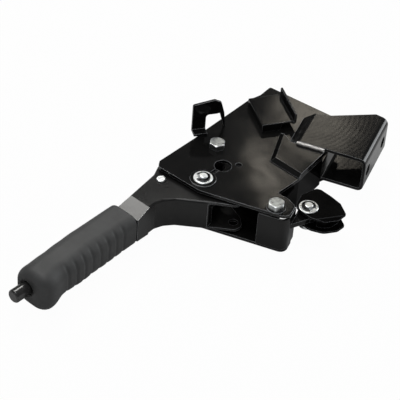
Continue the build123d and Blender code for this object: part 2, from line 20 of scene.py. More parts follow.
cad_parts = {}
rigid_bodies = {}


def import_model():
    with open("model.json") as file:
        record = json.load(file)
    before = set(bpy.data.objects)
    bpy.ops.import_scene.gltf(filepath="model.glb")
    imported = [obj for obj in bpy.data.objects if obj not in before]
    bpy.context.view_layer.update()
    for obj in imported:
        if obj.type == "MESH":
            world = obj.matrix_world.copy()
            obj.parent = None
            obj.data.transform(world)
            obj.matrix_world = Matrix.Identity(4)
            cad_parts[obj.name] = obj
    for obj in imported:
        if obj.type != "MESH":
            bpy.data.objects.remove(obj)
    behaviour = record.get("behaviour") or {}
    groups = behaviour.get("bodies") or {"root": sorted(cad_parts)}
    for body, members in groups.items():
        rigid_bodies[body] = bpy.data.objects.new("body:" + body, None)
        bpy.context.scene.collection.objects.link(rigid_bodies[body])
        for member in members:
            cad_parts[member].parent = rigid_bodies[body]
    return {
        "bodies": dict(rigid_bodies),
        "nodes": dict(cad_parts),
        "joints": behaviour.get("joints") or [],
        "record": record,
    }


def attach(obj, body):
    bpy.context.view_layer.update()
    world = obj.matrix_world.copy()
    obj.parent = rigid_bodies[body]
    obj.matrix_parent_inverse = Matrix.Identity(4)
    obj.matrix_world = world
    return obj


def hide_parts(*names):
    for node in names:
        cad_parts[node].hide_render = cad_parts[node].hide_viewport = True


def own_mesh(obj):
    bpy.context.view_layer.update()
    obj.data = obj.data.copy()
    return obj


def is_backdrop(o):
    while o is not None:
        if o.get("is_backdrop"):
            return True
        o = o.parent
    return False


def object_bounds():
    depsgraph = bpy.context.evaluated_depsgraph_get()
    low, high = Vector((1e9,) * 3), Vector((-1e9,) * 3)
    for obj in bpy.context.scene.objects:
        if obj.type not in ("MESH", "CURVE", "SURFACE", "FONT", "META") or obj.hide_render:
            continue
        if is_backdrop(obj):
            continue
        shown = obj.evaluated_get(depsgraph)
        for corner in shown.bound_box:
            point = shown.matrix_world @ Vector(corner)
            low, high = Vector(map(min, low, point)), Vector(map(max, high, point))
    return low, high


Triple = tuple[float, float, float]
Colour = tuple[float, float, float, float]

LOG = logging.getLogger("brake_lever")
WHITE = (1.0, 1.0, 1.0)

# The pivot of the lever, and the direction of its tube, in the shared frame
PIVOT = Vector((-0.125, -0.1115, -0.010))
TUBE_ANGLE = math.radians(249.5)
TUBE_OFFSET = 0.022

# Pins and washers with a brighter plating than the hexagon heads
BRIGHT_NODES = ("pivot_pin", "pivot_washer", "guide_pin", "guide_washer", "pawl_pin")

# Pieces that get a darker, duller copy of the paint as painted shade, because they lie inside the housing or
# under its edge
SHADED_NODES = ("side_wall", "cable_guide", "pawl", "pawl_collars")

# Pieces whose shallow folds get rounded edges too
CRISP_NODES = ("lever_arm", "doubler_plate")
CRISP_ANGLE = 7.0

# Sockets of the colour mixing node, which share their names with its other data types
MIX_BASE, MIX_COLOUR, MIX_RESULT = 6, 7, 2

# Distance from ring to ring of the wave texture at a scale of 1
RING_PITCH = 0.314


class Body(Enum):
    """Bodies that the script's own pieces ride on."""

    HOUSING = "housing"
    LEVER = "lever"


class Slot(Enum):
    """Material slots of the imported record."""

    PAINT = "black_paint"
    RUBBER = "grip_rubber"
    ZINC = "zinc"
    STEEL = "plain_steel"
    BUTTON = "button_plastic"


@dataclass(frozen=True)
class Noise:
    """Noise pattern: cells to the metre, octaves, strength of the finer octaves, and stretch."""

    scale: float
    detail: float
    roughness: float
    stretch: Triple = WHITE


class ShaderGraph:
    """Small helper that adds and links the nodes of one material."""

    def __init__(self, name: str) -> None:
        """Start an empty material with its output and a principled shader.

        Args:
            name: Name of the new material.
        """
        self.material = bpy.data.materials.new(name)
        self.material.use_nodes = True
        self.tree = self.material.node_tree
        self.tree.nodes.clear()
        self.output = self.tree.nodes.new("ShaderNodeOutputMaterial")
        self.shader = self.tree.nodes.new("ShaderNodeBsdfPrincipled")
        self.join(self.shader, "BSDF", self.output, "Surface")
        self.place = self.tree.nodes.new("ShaderNodeTexCoord")

    def join(self, source: bpy.types.Node, out_name: str, target: bpy.types.Node, in_name: str) -> None:
        """Link one node's output to another's input, both by socket name."""
        self.tree.links.new(source.outputs[out_name], target.inputs[in_name])

    def set(self, **values: object) -> None:
        """Set shader sockets, whose names are given with underscores for spaces."""
        for key, value in values.items():
            self.shader.inputs[key.replace("_", " ")].default_value = value

    def noise(self, pattern: Noise) -> bpy.types.Node:
        """Add a noise texture on object coordinates and return its node."""
        mapping = self.tree.nodes.new("ShaderNodeMapping")
        mapping.inputs["Scale"].default_value = pattern.stretch
        self.join(self.place, "Object", mapping, "Vector")
        noise = self.tree.nodes.new("ShaderNodeTexNoise")
        noise.inputs["Scale"].default_value = pattern.scale
        noise.inputs["Detail"].default_value = pattern.detail
        noise.inputs["Roughness"].default_value = pattern.roughness
        self.join(mapping, "Vector", noise, "Vector")
        return noise

    def rings(self, centre: Triple, pitch: float, wobble: float, wobble_scale: float) -> bpy.types.Node:
        """Add upright ring waves round a place, as a wiping pad leaves them.

        Args:
            centre: Middle of the rings.
            pitch: Distance from ring to ring.
            wobble: How far the rings stray from circles.
            wobble_scale: How fast they stray.

        Returns:
            The wave node.
        """
        mapping = self.tree.nodes.new("ShaderNodeMapping")
        mapping.inputs["Location"].default_value = tuple(-value for value in centre)
        self.join(self.place, "Object", mapping, "Vector")
        wave = self.tree.nodes.new("ShaderNodeTexWave")
        wave.wave_type = "RINGS"
        wave.rings_direction = "Z"
        wave.inputs["Scale"].default_value = RING_PITCH / pitch
        wave.inputs["Distortion"].default_value = wobble
        wave.inputs["Detail"].default_value = 0.0
        wave.inputs["Detail Scale"].default_value = wobble_scale
        self.join(mapping, "Vector", wave, "Vector")
        return wave

    def ramp(self, source: bpy.types.Node, out_name: str, stops: tuple[float, float],
             colours: tuple[Colour, Colour]) -> bpy.types.Node:
        """Add a colour ramp after a node.

        Args:
            source: Node that feeds the ramp.
            out_name: Name of its output.
            stops: Positions of the two stops.
            colours: Their colours.

        Returns:
            The ramp node.
        """
        ramp = self.tree.nodes.new("ShaderNodeValToRGB")
        for element, position, colour in zip(ramp.color_ramp.elements, stops, colours):
            element.position = position
            element.color = colour
        self.join(source, out_name, ramp, "Fac")
        return ramp

    def span(self, source: bpy.types.Node, out_name: str, low: float, high: float) -> bpy.types.Node:
        """Map a value of 0 to 1 onto a range and return the node that does it."""
        node = self.tree.nodes.new("ShaderNodeMapRange")
        node.inputs["To Min"].default_value = low
        node.inputs["To Max"].default_value = high
        self.join(source, out_name, node, "Value")
        return node

    def edge_mask(self, radius: float, low: float = 0.01, high: float = 0.10) -> bpy.types.Node:
        """Add a mask that is 1 along the edges of a piece and 0 on its open faces.

        Args:
            radius: How far the mask reaches from an edge.
            low: Turn of the surface, as 1 minus a cosine, at which the mask starts.
            high: Turn at which it is full.

        Returns:
            The node whose Result is the mask.
        """
        rounded = self.tree.nodes.new("ShaderNodeBevel")
        rounded.samples = 6
        rounded.inputs["Radius"].default_value = radius
        geometry = self.tree.nodes.new("ShaderNodeNewGeometry")
        turn = self.tree.nodes.new("ShaderNodeVectorMath")
        turn.operation = "DOT_PRODUCT"
        self.join(rounded, "Normal", turn, "Vector")
        self.tree.links.new(geometry.outputs["True Normal"], turn.inputs[1])
        mask = self.tree.nodes.new("ShaderNodeMapRange")
        mask.inputs["From Min"].default_value = 1.0 - low
        mask.inputs["From Max"].default_value = 1.0 - high
        self.join(turn, "Value", mask, "Value")
        return mask

    def mixed(self, mask: bpy.types.Node, out_name: str, base: bpy.types.NodeSocket,
              colour: Colour) -> bpy.types.NodeSocket:
        """Return a colour socket that goes from a base to a colour where a mask is 1.

        Args:
            mask: Node of the mask.
            out_name: Name of its output.
            base: Colour where the mask is 0.
            colour: Colour where it is 1.

        Returns:
            The mixed colour.
        """
        mix = self.tree.nodes.new("ShaderNodeMix")
        mix.data_type = "RGBA"
        self.tree.links.new(mask.outputs[out_name], mix.inputs["Factor"])
        self.tree.links.new(base, mix.inputs[MIX_BASE])
        mix.inputs[MIX_COLOUR].default_value = colour
        return mix.outputs[MIX_RESULT]

    def bump(self, source: bpy.types.Node, out_name: str, distance: float, strength: float = 1.0,
             under: bpy.types.Node | None = None) -> bpy.types.Node:
        """Add a bump and link it to the shader.

        Args:
            source: Node that gives the height.
            out_name: Name of its output.
            distance: Height of the bump.
            strength: Share of the bump that shows.
            under: Bump that this one lies on.

        Returns:
            The bump node.
        """
        node = self.tree.nodes.new("ShaderNodeBump")
        node.inputs["Distance"].default_value = distance
        node.inputs["Strength"].default_value = strength
        self.join(source, out_name, node, "Height")
        if under is not None:
            self.join(under, "Normal", node, "Normal")
        self.join(node, "Normal", self.shader, "Normal")
        return node


def grey(value: float, tint: Triple = WHITE) -> Colour:
    """Return a grey colour with a slight tint and full alpha."""
    return (value * tint[0], value * tint[1], value * tint[2], 1.0)


@dataclass(frozen=True)
class PaintFinish:
    """Glossy black paint on pressed steel, with fine orange peel, waves and lighter edges that are a painted
    highlight.

    Scuffs are the middle of the rings that a wiping pad left, if there are any.
    """

    name: str = "black_paint"
    dark: float = 0.004
    light: float = 0.009
    light_tint: Triple = (1.0, 0.98, 0.95)
    cloud: Noise = Noise(38.0, 4.0, 0.55)
    tint_stops: tuple[float, float] = (0.3, 0.75)
    roughness: tuple[float, float] = (0.06, 0.13)
    gloss: float = 0.30
    wave: Noise = Noise(17.0, 2.0, 0.45)
    waviness: float = 0.00045
    # Colour, tint and reach of the painted highlight that lightens the paint along every edge
    edge_highlight: float = 0.34
    edge_highlight_tint: Triple = (0.97, 1.0, 1.04)
    edge_highlight_reach: float = 0.0007
    scuffs: Triple | None = None
    scuff_pitch: float = 0.0045
    scuff_depth: float = 0.0000055
    scuff_wobble: tuple[float, float] = (1.2, 0.25)
    peel: Noise = Noise(900.0, 2.0, 0.5)
    peel_depth: float = 0.00004
    peel_strength: float = 0.3

    def build(self) -> bpy.types.Material:
        """Return the paint's material."""
        graph = ShaderGraph(self.name)
        cloud = graph.noise(self.cloud)
        tint = graph.ramp(cloud, "Fac", self.tint_stops, (grey(self.dark), grey(self.light, self.light_tint)))
        # Painted highlight: the edge mask lightens the paint along every edge
        edge_highlight = graph.edge_mask(self.edge_highlight_reach)
        highlit_edges = graph.mixed(edge_highlight, "Result", tint.outputs["Color"], grey(self.edge_highlight, self.edge_highlight_tint))
        graph.tree.links.new(highlit_edges, graph.shader.inputs["Base Color"])
        rough = graph.span(cloud, "Fac", *self.roughness)
        graph.join(rough, "Result", graph.shader, "Roughness")
        wave = graph.noise(self.wave)
        sheet = graph.bump(wave, "Fac", self.waviness)
        if self.scuffs is not None:
            rings = graph.rings(self.scuffs, self.scuff_pitch, *self.scuff_wobble)
            sheet = graph.bump(rings, "Fac", self.scuff_depth, 1.0, sheet)
        peel = graph.noise(self.peel)
        graph.bump(peel, "Fac", self.peel_depth, self.peel_strength, sheet)
        graph.set(Specular_IOR_Level=self.gloss)
        return graph.material


@dataclass(frozen=True)
class RubberFinish:
    """Satin dark grey rubber with a fine moulded grain."""

    name: str = "grip_rubber"
    dark: float = 0.044
    light: float = 0.064
    dark_tint: Triple = (1.0, 1.0, 1.02)
    light_tint: Triple = (0.98, 1.0, 1.0)
    cloud: Noise = Noise(60.0, 5.0, 0.6)
    tint_stops: tuple[float, float] = (0.3, 0.7)
    roughness: tuple[float, float] = (0.52, 0.66)
    gloss: float = 0.45
    grain: Noise = Noise(2600.0, 2.0, 0.5)
    grain_depth: float = 0.00006
    grain_strength: float = 0.4

    def build(self) -> bpy.types.Material:
        """Return the rubber's material."""
        graph = ShaderGraph(self.name)
        cloud = graph.noise(self.cloud)
        tint = graph.ramp(cloud, "Fac", self.tint_stops, (
            grey(self.dark, self.dark_tint), grey(self.light, self.light_tint)))
        graph.join(tint, "Color", graph.shader, "Base Color")
        rough = graph.span(cloud, "Fac", *self.roughness)
        graph.join(rough, "Result", graph.shader, "Roughness")
        grain = graph.noise(self.grain)
        graph.bump(grain, "Fac", self.grain_depth, self.grain_strength)
        graph.set(Specular_IOR_Level=self.gloss)
        return graph.material


@dataclass(frozen=True)
class ZincFinish:
    """Bright zinc plate on fasteners, slightly cloudy, with a painted highlight: a near-white, less metallic
    rim along the edges.
    """

    name: str = "zinc"
    dark: Colour = (0.33, 0.34, 0.35, 1.0)
    light: Colour = (0.60, 0.63, 0.61, 1.0)
    # Near-white rim colour along the edges, with its reach and metal share: a painted highlight
    rim: Colour = (0.95, 0.97, 1.0, 1.0)
    rim_highlight_reach: float = 0.0007
    rim_highlight_metal: float = 0.35
    cloud: Noise = Noise(300.0, 4.0, 0.6)
    tint_stops: tuple[float, float] = (0.3, 0.7)
    cloud_depth: float = 0.00002
    cloud_strength: float = 0.2
    roughness: tuple[float, float] = (0.22, 0.36)

    def build(self) -> bpy.types.Material:
        """Return the plating's material."""
        graph = ShaderGraph(self.name)
        cloud = graph.noise(self.cloud)
        tint = graph.ramp(cloud, "Fac", self.tint_stops, (self.dark, self.light))
        # Painted highlight: the edge mask turns the rim near white and less metallic, so that it looks lit
        # from any side
        rim = graph.edge_mask(self.rim_highlight_reach)
        bright = graph.mixed(rim, "Result", tint.outputs["Color"], self.rim)
        graph.tree.links.new(bright, graph.shader.inputs["Base Color"])
        metal = graph.span(rim, "Result", 1.0, self.rim_highlight_metal)
        graph.join(metal, "Result", graph.shader, "Metallic")
        rough = graph.span(cloud, "Fac", *self.roughness)
        graph.join(rough, "Result", graph.shader, "Roughness")
        graph.bump(cloud, "Fac", self.cloud_depth, self.cloud_strength)
        return graph.material


@dataclass(frozen=True)
class SteelFinish:
    """Plain oiled steel of the inner pieces."""

    name: str = "plain_steel"
    dark: float = 0.05
    light: float = 0.12
    dark_tint: Triple = (1.0, 0.97, 0.93)
    light_tint: Triple = (1.0, 0.99, 0.97)
    cloud: Noise = Noise(160.0, 5.0, 0.6)
    tint_stops: tuple[float, float] = (0.3, 0.75)
    roughness: tuple[float, float] = (0.3, 0.5)
    brush: Noise = Noise(900.0, 2.0, 0.5, (1.0, 1.0, 0.06))
    brush_depth: float = 0.00003
    brush_strength: float = 0.3

    def build(self) -> bpy.types.Material:
        """Return the steel's material."""
        graph = ShaderGraph(self.name)
        cloud = graph.noise(self.cloud)
        tint = graph.ramp(cloud, "Fac", self.tint_stops, (
            grey(self.dark, self.dark_tint), grey(self.light, self.light_tint)))
        graph.join(tint, "Color", graph.shader, "Base Color")
        rough = graph.span(cloud, "Fac", *self.roughness)
        graph.join(rough, "Result", graph.shader, "Roughness")
        brush = graph.noise(self.brush)
        graph.bump(brush, "Fac", self.brush_depth, self.brush_strength)
        graph.set(Metallic=1.0)
        return graph.material


@dataclass(frozen=True)
class ButtonFinish:
    """Dark plated button, glossy and slightly cloudy."""

    name: str = "button_plastic"
    dark: float = 0.020
    light: float = 0.034
    light_tint: Triple = (1.0, 0.99, 0.97)
    cloud: Noise = Noise(500.0, 4.0, 0.6)
    tint_stops: tuple[float, float] = (0.3, 0.7)
    roughness: tuple[float, float] = (0.14, 0.26)
    gloss: float = 0.7

    def build(self) -> bpy.types.Material:
        """Return the button's material."""
        graph = ShaderGraph(self.name)
        cloud = graph.noise(self.cloud)
        tint = graph.ramp(cloud, "Fac", self.tint_stops, (grey(self.dark), grey(self.light, self.light_tint)))
        graph.join(tint, "Color", graph.shader, "Base Color")
        rough = graph.span(cloud, "Fac", *self.roughness)
        graph.join(rough, "Result", graph.shader, "Roughness")
        graph.set(Specular_IOR_Level=self.gloss)
        return graph.material


def finished(piece: bpy.types.Object, material: bpy.types.Material) -> None:
    """Give every face of a piece one material."""
    piece.data.materials.clear()
    piece.data.materials.append(material)


def object_from(mesh: bmesh.types.BMesh, name: str, smooth: bool = True) -> bpy.types.Object:
    """Turn a bmesh into an object of the scene with its normals outwards.

    Args:
        mesh: The shape, which is freed.
        name: Name of the new object.
        smooth: Whether its faces are shaded smooth.

    Returns:
        The new object, at the origin.
    """
    bmesh.ops.recalc_face_normals(mesh, faces=mesh.faces)
    data = bpy.data.meshes.new(name)
    mesh.to_mesh(data)
    mesh.free()
    for face in data.polygons:
        face.use_smooth = smooth
    piece = bpy.data.objects.new(name, data)
    bpy.context.scene.collection.objects.link(piece)
    return piece


def circle(mesh: bmesh.types.BMesh, points: int) -> tuple[list[bmesh.types.BMVert], list[bmesh.types.BMEdge]]:
    """Add an open circle of radius 1 and return its vertices and edges."""
    verts = bmesh.ops.create_circle(mesh, segments=points, radius=1.0)["verts"]
    return verts, list({edge for vert in verts for edge in vert.link_edges})


def extruded(mesh: bmesh.types.BMesh,
             edges: list[bmesh.types.BMEdge]) -> tuple[list[bmesh.types.BMVert], list[bmesh.types.BMEdge]]:
    """Extrude a ring of edges.

    Args:
        mesh: The shape.
        edges: Edges of the ring.

    Returns:
        The vertices and edges of the new ring.
    """
    out = bmesh.ops.extrude_edge_only(mesh, edges=edges)["geom"]
    verts = [item for item in out if isinstance(item, bmesh.types.BMVert)]
    fresh = [item for item in out if isinstance(item, bmesh.types.BMEdge)
             and item.verts[0] in verts and item.verts[1] in verts]
    return verts, fresh


@dataclass
class TubeFrame:
    """The lever tube's own directions: along it, across it towards the top side, and up."""

    offset: float = TUBE_OFFSET

    def __post_init__(self) -> None:
        """Work the directions out of the tube's angle."""
        self.along = Vector((math.cos(TUBE_ANGLE), math.sin(TUBE_ANGLE), 0.0))
        self.across = Vector((self.along.y, -self.along.x, 0.0))
        self.up = Vector((0.0, 0.0, 1.0))

    def point(self, distance: float, across: float, up: float) -> Vector:
        """Return the place of a point given along, across from the tube's axis, and up."""
        return PIVOT + self.along * distance + self.across * (self.offset + across) + self.up * up

    def matrix(self, distance: float) -> Matrix:
        """Return the transform that lays a flat ring square across the tube at a distance."""
        turn = Matrix((self.across, self.up, self.along)).transposed().to_4x4()
        return Matrix.Translation(self.point(distance, 0.0, 0.0)) @ turn


@dataclass
class EdgeRounding:
    """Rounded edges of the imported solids, as live modifiers."""

    width: float = 0.0005
    segments: int = 2
    angle: float = 32.0
    merge: float = 0.000002
    flat_angle: float = 0.6
    evenness: int = 80

    def apply_to(self, piece: bpy.types.Object) -> None:
        """Add the modifiers that weld the loose triangles and round the sharp edges.

        Args:
            piece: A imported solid.
        """
        weld = piece.modifiers.new("weld", "WELD")
        weld.merge_threshold = self.merge
        flat = piece.modifiers.new("flat", "DECIMATE")
        flat.decimate_type = "DISSOLVE"
        flat.angle_limit = math.radians(self.flat_angle)
        bevel = piece.modifiers.new("edges", "BEVEL")
        bevel.width = self.width
        bevel.segments = self.segments
        bevel.limit_method = "ANGLE"
        bevel.angle_limit = math.radians(self.angle)
        bevel.harden_normals = True
        even = piece.modifiers.new("even", "WEIGHTED_NORMAL")
        even.mode = "FACE_AREA"
        even.weight = self.evenness
        even.keep_sharp = False
        for face in piece.data.polygons:
            face.use_smooth = True


@dataclass(frozen=True)
class Ring:
    """One rounded square ring of the grip.

    It has a place along the tube, half its width, the radius of its corners, and a drop towards
    the fingers. A ribbed ring is cut by the finger grooves.
    """

    distance: float
    half: float
    corner: float
    drop: float = 0.0
    ribbed: bool = False

    def inset(self, distance: float, depth: float) -> Ring:
        """Return a ring at another distance that lies inside this one by a depth."""
        return Ring(distance, self.half - depth, self.corner - depth, self.drop)

    def reach(self, angle: float) -> float:
        """Return how far the ring lies from its middle at an angle."""
        side, rise = abs(math.cos(angle)), abs(math.sin(angle))
        flat = self.half / max(side, rise)
        inner = self.half - self.corner
        if flat * min(side, rise) <= inner:
            return flat
        dot = inner * (side + rise)
        return dot + math.sqrt(max(dot * dot - 2.0 * inner * inner + self.corner * self.corner, 0.0))


@dataclass
class GripSleeve:
    """Rubber sleeve over the lever's tube, squarish at the arm, with finger ribs and a flared end."""

    start: float = 0.0745
    end: float = 0.1920
    tube_end: float = 0.1896
    tube_radius: float = 0.0110
    button_hole: float = 0.0071
    start_section: Triple = (0.0160, 0.0085, -0.0004)
    palm: float = 0.12685
    palm_section: Triple = (0.0176, 0.0130, 0.0008)
    heel: float = 0.1442
    heel_section: Triple = (0.0177, 0.0130, 0.0019)
    waist: float = 0.1636
    waist_section: Triple = (0.0172, 0.0130, 0.0024)
    flare: float = 0.1834
    end_section: Triple = (0.0190, 0.0150, 0.0056)
    start_round: float = 0.0030
    end_round: float = 0.0075
    end_reach: float = 0.0085
    end_lift: float = 0.0034
    round_steps: int = 8
    lip_width: float = 0.0012
    lip_dip: float = 0.0001
    end_dip: float = 0.0002
    ring_points: int = 96
    spacing: float = 0.0009
    first_groove: float = 0.0920
    groove_pitch: float = 0.00986
    grooves: int = 8
    groove_depth: float = 0.0010
    groove_width: float = 0.0015
    groove_side: tuple[float, float] = (0.45, 0.40)

    def build(self, frame: TubeFrame) -> bpy.types.Object:
        """Build the sleeve's mesh.

        Args:
            frame: The tube's directions.

        Returns:
            The sleeve.
        """
        mesh = bmesh.new()
        verts, first = circle(mesh, self.ring_points)
        edges = first
        last_drop = 0.0
        for number, ring in enumerate(self.rings()):
            if number:
                verts, edges = extruded(mesh, edges)
            for vert in verts:
                angle = math.atan2(vert.co.y, vert.co.x + last_drop)
                reach = ring.reach(angle) - self.groove(ring, angle)
                vert.co = (reach * math.cos(angle) - ring.drop, reach * math.sin(angle), ring.distance)
            last_drop = ring.drop
        bmesh.ops.bridge_loops(mesh, edges=first + edges)
        bmesh.ops.transform(mesh, matrix=frame.matrix(0.0), verts=mesh.verts)
        return object_from(mesh, "grip_sleeve")

    def section(self, distance: float) -> Ring:
        """Return the sleeve's ring at a distance along the tube, eased between the stations."""
        stations = [
            (self.start, self.start_section), (self.palm, self.palm_section),
            (self.heel, self.heel_section), (self.waist, self.waist_section),
            (self.flare, self.end_section), (self.end, self.end_section),
        ]
        for (low, start), (high, end) in zip(stations, stations[1:]):
            if distance <= high:
                share = (1.0 - math.cos(math.pi * (distance - low) / (high - low))) / 2.0
                return Ring(distance, *(a + (b - a) * share for a, b in zip(start, end)), ribbed=True)
        return Ring(distance, *self.end_section)

    def rings(self) -> list[Ring]:
        """Return the rings from the bore's arm end, over the outside, and back to the bore."""
        rings = [Ring(self.start, self.tube_radius, self.tube_radius)]
        low = self.section(self.start + self.start_round)
        for step in range(self.round_steps):
            turn = math.pi / 2 * step / self.round_steps
            rings.append(low.inset(self.start + self.start_round * (1.0 - math.cos(turn)),
                                   self.start_round * (1.0 - math.sin(turn))))
        reach = self.end - self.end_reach - low.distance
        count = round(reach / self.spacing)
        rings += [self.section(low.distance + reach * step / count) for step in range(count + 1)]
        last = self.section(self.end)
        for step in range(1, self.round_steps + 1):
            turn = math.pi / 2 * step / self.round_steps
            depth = self.end_round * (1.0 - math.cos(turn))
            lift = self.end_lift * (1.0 - math.cos(turn))
            rings.append(Ring(self.end - self.end_reach * (1.0 - math.sin(turn)), last.half - depth,
                              last.corner - depth, last.drop - lift))
        rim = rings[-1]
        lip = self.button_hole + self.lip_width
        rings.append(Ring(self.end - self.end_dip, (rim.half + lip) / 2, (rim.corner + lip) / 2,
                          rim.drop / 2))
        rings.append(Ring(self.end - self.end_dip - self.lip_dip, lip, lip))
        rings.append(Ring(self.end - self.lip_width, self.button_hole, self.button_hole))
        rings.append(Ring(self.tube_end, self.button_hole, self.button_hole))
        rings.append(Ring(self.tube_end, self.tube_radius, self.tube_radius))
        return rings

    def groove(self, ring: Ring, angle: float) -> float:
        """Return how deep the finger grooves cut at a ring and an angle.

        Args:
            ring: The ring.
            angle: Angle round the tube from its top side.

        Returns:
            Depth of the cut.
        """
        if not ring.ribbed:
            return 0.0
        place = (ring.distance - self.first_groove) / self.groove_pitch
        nearest = min(max(round(place), 0), self.grooves - 1)
        offset = (place - nearest) * self.groove_pitch
        cut = math.exp(-(offset / self.groove_width) ** 2)
        side, fade = self.groove_side
        share = min(max((-math.cos(angle) - side) / fade, 0.0), 1.0)
        return self.groove_depth * cut * share * share * (3.0 - 2.0 * share)


@dataclass
class ReturnSpring:
    """Coil spring inside the tube, between its seat and the release button."""

    near: float = 0.1430
    length: float = 0.0240
    radius: float = 0.0051
    wire: float = 0.0010
    wire_points: int = 10
    turns: int = 7
    steps_per_turn: int = 28
    button_travel: float = 0.0040

    def build(self, frame: TubeFrame) -> bpy.types.Object:
        """Spin the wire's section round the tube's axis with a rise, and close its two ends.

        Args:
            frame: The tube's directions.

        Returns:
            The spring.
        """
        mesh = bmesh.new()
        verts = bmesh.ops.create_circle(mesh, segments=self.wire_points, radius=self.wire / 2)["verts"]
        upright = Matrix.Translation((self.radius, 0.0, 0.0)) @ Matrix.Rotation(math.pi / 2, 4, "X")
        bmesh.ops.transform(mesh, matrix=upright, verts=verts)
        steps = self.turns * self.steps_per_turn
        rise = (0.0, 0.0, (self.length - self.wire) / steps)
        bmesh.ops.spin(mesh, geom=mesh.verts[:] + mesh.edges[:], cent=(0.0, 0.0, 0.0), axis=(0.0, 0.0, 1.0),
                       dvec=rise, angle=-2.0 * math.pi * self.turns, steps=steps)
        bmesh.ops.holes_fill(mesh, edges=mesh.edges[:], sides=0)
        bmesh.ops.transform(mesh, matrix=frame.matrix(self.near + self.wire / 2), verts=mesh.verts)
        return object_from(mesh, "return_spring")

    def shorten(self, piece: bpy.types.Object) -> None:
        """Give the spring a mesh of its own.

        Args:
            piece: The spring.
        """
        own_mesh(piece)


@dataclass
class WeldBead:
    """Rippled weld along the front edge of the base bracket, on the doubler plate."""

    start_x: float = 0.0590
    end_x: float = 0.0860
    y: float = 0.0779
    z: float = 0.0262
    radius: float = 0.0019
    ring_points: int = 14
    spacing: float = 0.00045
    ripple_pitch: float = 0.0018
    ripple: float = 0.09
    end_power: int = 24
    end_size: float = 0.02
    wanders: tuple[tuple[float, float], ...] = ((0.00018, 17.0), (0.0001, 41.0))

    def build(self) -> bpy.types.Object:
        """Build the bead as a closed rope of small ripples.

        Returns:
            The bead.
        """
        mesh = bmesh.new()
        turn = Matrix(((0.0, 0.0, 1.0), (1.0, 0.0, 0.0), (0.0, 1.0, 0.0))).to_4x4()
        verts, edges = circle(mesh, self.ring_points)
        ends = [edges]
        last_wander = 0.0
        count = round((self.end_x - self.start_x) / self.spacing)
        for step in range(count + 1):
            if step:
                verts, edges = extruded(mesh, edges)
            along = step / count
            swell = 1.0 + self.ripple * math.sin(2.0 * math.pi * step * self.spacing / self.ripple_pitch)
            cap = math.sqrt(max(1.0 - (2.0 * along - 1.0) ** self.end_power, self.end_size))
            wander = sum(width * math.sin(turns * along) for width, turns in self.wanders)
            size = self.radius * swell * cap
            for vert in verts:
                angle = math.atan2(vert.co.y, vert.co.x - last_wander)
                vert.co = (size * math.cos(angle) + wander, size * math.sin(angle), along)
            last_wander = wander
        ends.append(edges)
        for loop in ends:
            bmesh.ops.contextual_create(mesh, geom=loop)
        bmesh.ops.scale(mesh, verts=mesh.verts, vec=(1.0, 1.0, self.end_x - self.start_x))
        bmesh.ops.transform(mesh, matrix=turn, verts=mesh.verts)
        bmesh.ops.translate(mesh, verts=mesh.verts, vec=PIVOT + Vector((self.start_x, self.y, self.z)))
        return object_from(mesh, "weld_bead")


@dataclass(frozen=True)
class Lamp:
    """One rectangular soft light that faces the part.

    It has a place from the part's middle, a width and height, a power in watts, a tint, and a turn
    round the line to the part in degrees.
    """

    name: str
    place: Triple
    size: tuple[float, float]
    power: float
    colour: Triple
    roll: float = 0.0


LAMPS = (
    Lamp("key", (-0.52, 0.62, 1.25), (0.55, 0.45), 9.0, (1.0, 0.99, 0.96)),
    Lamp("overhead", (-0.05, -0.25, 1.60), (0.80, 0.80), 7.8, (0.98, 0.99, 1.0)),
    Lamp("streak_near", (-0.378, 1.466, 1.24), (0.022, 0.095), 0.066, (1.0, 0.92, 0.78), 44.0),
    Lamp("streak_far", (-0.352, 1.668, 1.24), (0.132, 0.080), 0.172, (1.0, 0.92, 0.78)),
    Lamp("right_rear", (0.95, 1.15, 0.46), (0.50, 0.72), 6.5, (0.95, 0.98, 1.0)),
    Lamp("front", (-0.35, -0.85, 1.05), (0.60, 0.35), 1.2, (0.97, 0.99, 1.0)),
)


